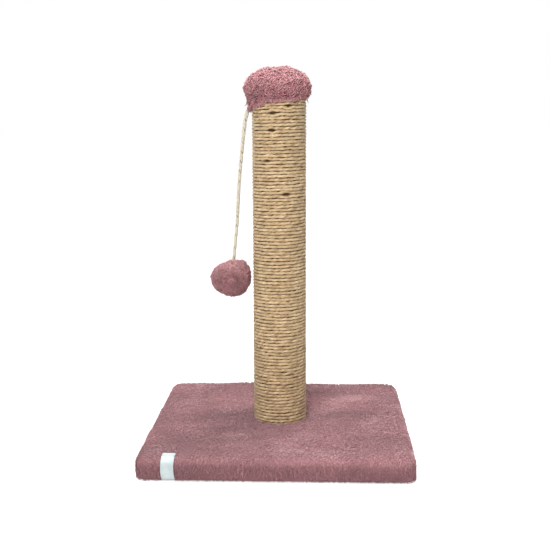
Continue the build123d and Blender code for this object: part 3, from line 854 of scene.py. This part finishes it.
spin = np.linspace(0, 2 * math.pi, CAP_AROUND, endpoint=False)
hem_height = HEM_HEIGHT + HEM_TILT * (np.cos(spin) * 38.0 - CAP_LEAN)
hem_height += 2.8 * np.exp(-((degrees_from(spin, 254) / 20.0) ** 2))
hem_height -= 1.8 * np.exp(-((degrees_from(spin, 180) / 20.0) ** 2))
hem_height += 0.7 * np.sin(9 * spin + 0.7) + 0.4 * np.sin(23 * spin)
hem_run = np.interp(CROWN - hem_height, cap_inner[:, 1], cap_steps)
cap_rings = []
for share in np.linspace(0.012, 1.0, CAP_RINGS):
    radius = np.interp(hem_run * share, cap_steps, cap_inner[:, 0])
    drop = np.interp(hem_run * share, cap_steps, cap_inner[:, 1])
    pleat = 0.8 * np.sin(17 * spin + 0.5 * np.sin(3 * spin)) + 0.5 * np.sin(31 * spin + 1.0)
    above_tuck = CROWN - drop - TUCK_HEIGHT - 2.0 * np.sin(2 * spin)
    tuck = 1.9 * np.exp(-((above_tuck / 1.7) ** 2))
    radius = radius + ease(0.72, 1.0, share) * pleat - ease(0.5, 0.7, share) * tuck
    radius = np.maximum(radius, 0.2)
    ring = circle(spin, radius, CROWN - drop)
    ring[:, 0] -= CAP_LEAN * (radius / 43.0) ** 0.5
    cap_rings.append(ring)

# The hem turned in under the cap, up to the rope
last = cap_rings[-1]
reach = np.linalg.norm(last[:, :2], axis=1, keepdims=True)
for inward, raise_by in ((0.35, -0.9), (0.7, -0.6), (1.0, 0.8), (1.0, 6.0)):
    ring = last.copy()
    ring[:, :2] = ring[:, :2] / reach * ((1 - inward) * reach + inward * (ROPE_OUTER + 0.5))
    ring[:, 2] += raise_by
    cap_rings.append(ring)
cap_points = np.concatenate(cap_rings)
swell = 0.9 * waves(cap_points, 30.0, 71) + 0.45 * waves(cap_points, 9.0, 72)
above_hem = ease(0.0, 10.0, cap_points[:, 2] - 470.0)
cap_points[:, :2] *= 1 + (above_hem * swell * 0.5 / 42.0)[:, None]
cap_points[:, 2] += above_hem * swell * 0.45
cap_quads = ring_quads(len(cap_rings), CAP_AROUND)[:, ::-1]
# The cloth under the pile keeps a low tone, painted shade deep in the pile
cap_tone = np.clip(0.10 + 0.06 * waves(cap_points, 3.5, 73), 0, 1)
cap_skin = make_mesh("cap_cloth", cap_points, cap_quads, cap_plush, cap_tone)
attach(cap_skin, "stand")
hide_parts("cap_cover", "cap_pad")


def locks(points, quads, layers, seed, flow, spread, curl, bend=0.011):
    """Curly locks of plush in layers, that lie along a flow over a rounded surface.

    Each layer has a count of strands, a length, a lift and a thickness.
    """
    rng = np.random.default_rng(seed)
    parts = []
    for number, (count, long, lift, thick) in enumerate(layers):
        count = count
        place, out = scatter(points, quads, count, rng)
        clump = np.stack([waves(place, 9.0, seed + 5 * number + i) for i in range(3)], axis=1)
        way = flow(place, out) + spread * clump + rng.normal(0, spread * 0.5, (count, 3))
        length = rng.uniform(0.65, 1.25, count) * long
        height = rng.uniform(0.5, 1.15, count) * lift
        strand_points, strand_quads, tone = pile(
            place, out, way, length, height, arch=0.68, curl=curl, turns=1.15,
            thick=rng.uniform(0.7, 1.15, count) * thick, steps=7, sides=4, rng=rng, bend=bend, root_shade=0.16,
        )
        # Strands on upward faces are lighter, painted light from above
        painted_top_light = np.repeat(0.82 + 0.30 * np.clip(out[:, 2], 0, 1), len(strand_points) // count)
        parts.append((strand_points, strand_quads, tone * painted_top_light))
    return merge(parts)


def cap_flow(place, out):
    """Outwards from the crown and down the sides."""
    away = place - np.array([-CAP_LEAN, 0.0, CROWN - 6.0])
    away[:, 2] *= 0.6
    swirl = np.stack([-place[:, 1], place[:, 0], np.zeros(len(place))], axis=1)
    return unit(away) + 0.25 * unit(swirl)


points, quads, tone = locks(
    cap_points, cap_quads[: (CAP_RINGS - 1) * CAP_AROUND],
    layers=[(3200, 6.0, 1.1, 0.6), (1900, 8.0, 2.0, 0.82), (620, 9.5, 3.0, 0.95)],
    seed=81, flow=cap_flow, spread=1.7, curl=1.5,
)
reach = np.linalg.norm(points[:, :2], axis=1)
inside = (reach < ROPE_OUTER + 0.2) & (points[:, 2] < 470)
points[inside, :2] *= ((ROPE_OUTER + 0.25) / reach[inside])[:, None]
cap_pile = make_mesh("cap_pile", points, quads, cap_plush, tone)
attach(cap_pile, "stand")

# Frill of strand ends that hangs below the cap's hem
FRILL = 900
frill_rng = np.random.default_rng(91)
turn = frill_rng.uniform(0, 2 * math.pi, FRILL)
hem_at = np.interp(turn, np.append(spin, 2 * math.pi), np.append(hem_height, hem_height[0]))
away = frill_rng.uniform(ROPE_OUTER + 0.9, ROPE_OUTER + 3.2, FRILL)
place = circle(turn, away, hem_at + frill_rng.uniform(0.5, 3.0, FRILL))
place[:, 0] -= 1.0
out = circle(turn, 1, 0)
way = np.stack([frill_rng.normal(0, 0.5, FRILL), frill_rng.normal(0, 0.5, FRILL), np.full(FRILL, -1.0)], axis=1)
points, quads, tone = pile(
    place, out, way, length=frill_rng.uniform(2.6, 5.0, FRILL), lift=frill_rng.uniform(0.3, 1.6, FRILL),
    arch=0.9, curl=1.2, turns=1.3, thick=frill_rng.uniform(0.4, 0.75, FRILL),
    steps=6, sides=4, rng=frill_rng, bend=0.01,
)
reach = np.linalg.norm(points[:, :2], axis=1)
inside = reach < ROPE_OUTER + 0.3
points[inside, :2] *= ((ROPE_OUTER + 0.35) / reach[inside])[:, None]
cap_frill = make_mesh("cap_frill", points, quads, cap_plush, tone * 0.95)
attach(cap_frill, "stand")

# Ball: stuffed plush, round but pulled a little to one side

BALL_CENTRE = toy_point(0, BALL_DROP)
BALL_AROUND = 120
BALL_RINGS = 62
BALL_PILE = 2.3
BALL_WIDE = 26.4
BALL_TALL = 23.4
# How far the ball reaches at each bearing across the view from its front, pulled to one side as it hangs
BALL_BEARINGS = (0, 25, 50, 70, 90, 110, 130, 150, 165, 178, 200, 225, 255, 283, 310, 335)
BALL_REACH = (26.4, 28.2, 29.4, 26.3, 24.4, 22.5, 24.6, 27.0, 28.4, 28.8, 27.8, 26.0, 24.6, 25.7, 26.6, 26.6)
spin = np.linspace(0, 2 * math.pi, BALL_AROUND, endpoint=False)
ball_rings = []
for share in np.linspace(0.0, 1.0, BALL_RINGS - 1):
    lift_angle = math.pi / 2 - math.pi * (0.038 + 0.959 * share)
    ball_rings.append(circle(spin, BALL_WIDE * math.cos(lift_angle), BALL_TALL * math.sin(lift_angle)))
# The cloth's edge turns in round the mouth, where the cord goes in
ball_rings.insert(0, ball_rings[0] * np.array([0.9, 0.9, 1.0]) - np.array([0, 0, 1.6]))
ball_points = np.concatenate(ball_rings)
shape = unit(ball_points)
ball_axes = np.stack([-TOY_ACROSS, np.array([0.0, 1.0, 0.0]), -TOY_DOWN])
seen_way = shape @ ball_axes
bearing = np.degrees(np.arctan2(seen_way[:, 2], seen_way[:, 0])) % 360
outline = np.interp(bearing, BALL_BEARINGS, BALL_REACH, period=360)
share = seen_way[:, 0] ** 2 + seen_way[:, 2] ** 2
notch = np.exp(-(((shape - unit(np.array([0.90, -0.10, -0.38]))) ** 2).sum(axis=1)) / 0.028)
swell = 0.35 * waves(ball_points, 24.0, 101) + 0.3 * waves(ball_points, 7.0, 102)
plain = np.linalg.norm(ball_points, axis=1)
reach = plain * (1 - share) + (outline - BALL_PILE) * share - 4.6 * notch + swell
mouth_away = np.linalg.norm(ball_points[:, :2], axis=1)
at_mouth = np.where(shape[:, 2] > 0, 1 - ease(4.0, 10.0, mouth_away), 0.0)
ball_points = shape * (reach * (1 - at_mouth) + plain * at_mouth)[:, None]
ball_quads = ring_quads(BALL_RINGS, BALL_AROUND)[:, ::-1]
# The cloth under the pile keeps a low tone, painted shade deep in the pile
ball_tone = np.clip(0.12 + 0.06 * waves(ball_points, 3.5, 103), 0, 1)
ball_points = BALL_CENTRE + ball_points @ ball_axes
ball_skin = make_mesh("ball_cloth", ball_points, ball_quads, ball_plush, ball_tone)
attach(ball_skin, "ball")
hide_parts("ball_cover", "ball_filling")


def ball_flow(place, out):
    """Round the ball in a loose whorl that starts at its front."""
    away = place - (BALL_CENTRE + np.array([4.0, -26.0, 6.0]))
    return unit(away) + 0.8 * unit(np.cross(out, away))


points, quads, tone = locks(
    ball_points, ball_quads[2 * BALL_AROUND :],
    layers=[(2600, 4.5, 0.9, 0.45), (1900, 6.0, 1.8, 0.62), (900, 6.0, 3.2, 0.55)],
    seed=111, flow=ball_flow, spread=1.2, curl=1.1, bend=0.016,
)
ball_pile = make_mesh("ball_pile", points, quads, ball_plush, tone)
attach(ball_pile, "ball")

# Materials of the nodes that stay as they are
for name, material in (
    ("base_board", board_wood),
    ("lower_plug", plug_wood),
    ("upper_plug", plug_wood),
    ("post_tube", cardboard),
    ("post_bolt", zinc_steel),
    ("post_washer", zinc_steel),
    ("threaded_insert", zinc_steel),
    ("cover_staples", staple_steel),
    ("lower_plug_staples", staple_steel),
    ("upper_plug_staples", staple_steel),
    ("cap_staples", staple_steel),
):
    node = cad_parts[name]
    for place in node.material_slots:
        place.material = material
    if not node.material_slots:
        node.data.materials.append(material)

# Floor: a wide white plain that glows more with the distance, and glows less on what stands on it

FLOOR_REACH = 20000.0
FLOOR_LINES = 9
# How much of the floor's and the sky's white is left in the light they give
UNSEEN_SHARE = 0.18
floor_material, nodes, links, shader = new_material("floor", 0.95)
grain = ramp(nodes, links, noise(nodes, links, coords(nodes), 3.0), [(0.3, (0.70,) * 3), (0.7, (0.74,) * 3)])
links.new(grain, shader.inputs["Base Color"])
shader.inputs["Emission Color"].default_value = (1, 1, 1, 1)
distance = nodes.new("ShaderNodeVectorMath")
distance.operation = "LENGTH"
links.new(coords(nodes), distance.inputs[0])
# The glow is lower near the post, a painted soft shadow round its foot
glow = nodes.new("ShaderNodeMapRange")
glow.inputs["From Min"].default_value = 0.35
glow.inputs["From Max"].default_value = 1.6
glow.inputs["To Min"].default_value = 0.48
glow.inputs["To Max"].default_value = 0.95
links.new(distance.outputs["Value"], glow.inputs["Value"])
shown = nodes.new("ShaderNodeMapRange")
shown.inputs["To Min"].default_value = UNSEEN_SHARE
shown.inputs["To Max"].default_value = 1.0
links.new(nodes.new("ShaderNodeLightPath").outputs["Is Camera Ray"], shown.inputs["Value"])
level_glow = nodes.new("ShaderNodeMath")
level_glow.operation = "MULTIPLY"
links.new(glow.outputs["Result"], level_glow.inputs[0])
links.new(shown.outputs["Result"], level_glow.inputs[1])
links.new(level_glow.outputs["Value"], shader.inputs["Emission Strength"])
floor_lines = np.linspace(-FLOOR_REACH, FLOOR_REACH, FLOOR_LINES)
floor_points = np.array([(x, y, 0.0) for y in floor_lines for x in floor_lines])
floor = make_mesh("floor", floor_points, ring_quads(FLOOR_LINES, FLOOR_LINES, closed=False), floor_material)

# Soft studio light

world = bpy.data.worlds.new("studio")
bpy.context.scene.world = world
world.use_nodes = True
sky = world.node_tree.nodes["Background"]
sky.inputs["Color"].default_value = (1.0, 1.0, 1.0, 1)
seen = world.node_tree.nodes.new("ShaderNodeLightPath")
strength = world.node_tree.nodes.new("ShaderNodeMapRange")
strength.inputs["To Min"].default_value = UNSEEN_SHARE
strength.inputs["To Max"].default_value = 1.0
world.node_tree.links.new(seen.outputs["Is Camera Ray"], strength.inputs["Value"])
world.node_tree.links.new(strength.outputs["Result"], sky.inputs["Strength"])


def area_light(name, place, target, size, power):
    """A soft square light aimed at a point."""
    data = bpy.data.lights.new(name, "AREA")
    data.size = size
    data.energy = power
    lamp = bpy.data.objects.new(name, data)
    lamp.location = place
    lamp.rotation_euler = (Vector(target) - Vector(place)).to_track_quat("-Z", "Y").to_euler()
    bpy.context.scene.collection.objects.link(lamp)


area_light("key", (-0.32, -1.95, 1.3), (0, 0, 0.25), 0.7, 44.0)
area_light("fill", (1.5, 1.6, 1.2), (0, 0, 0.25), 1.2, 12.0)
area_light("over", (-0.1, 0.15, 2.3), (0, 0, 0.2), 1.1, 62.0)

bpy.context.scene.view_settings.view_transform = "Standard"
bpy.context.scene.view_settings.look = "None"
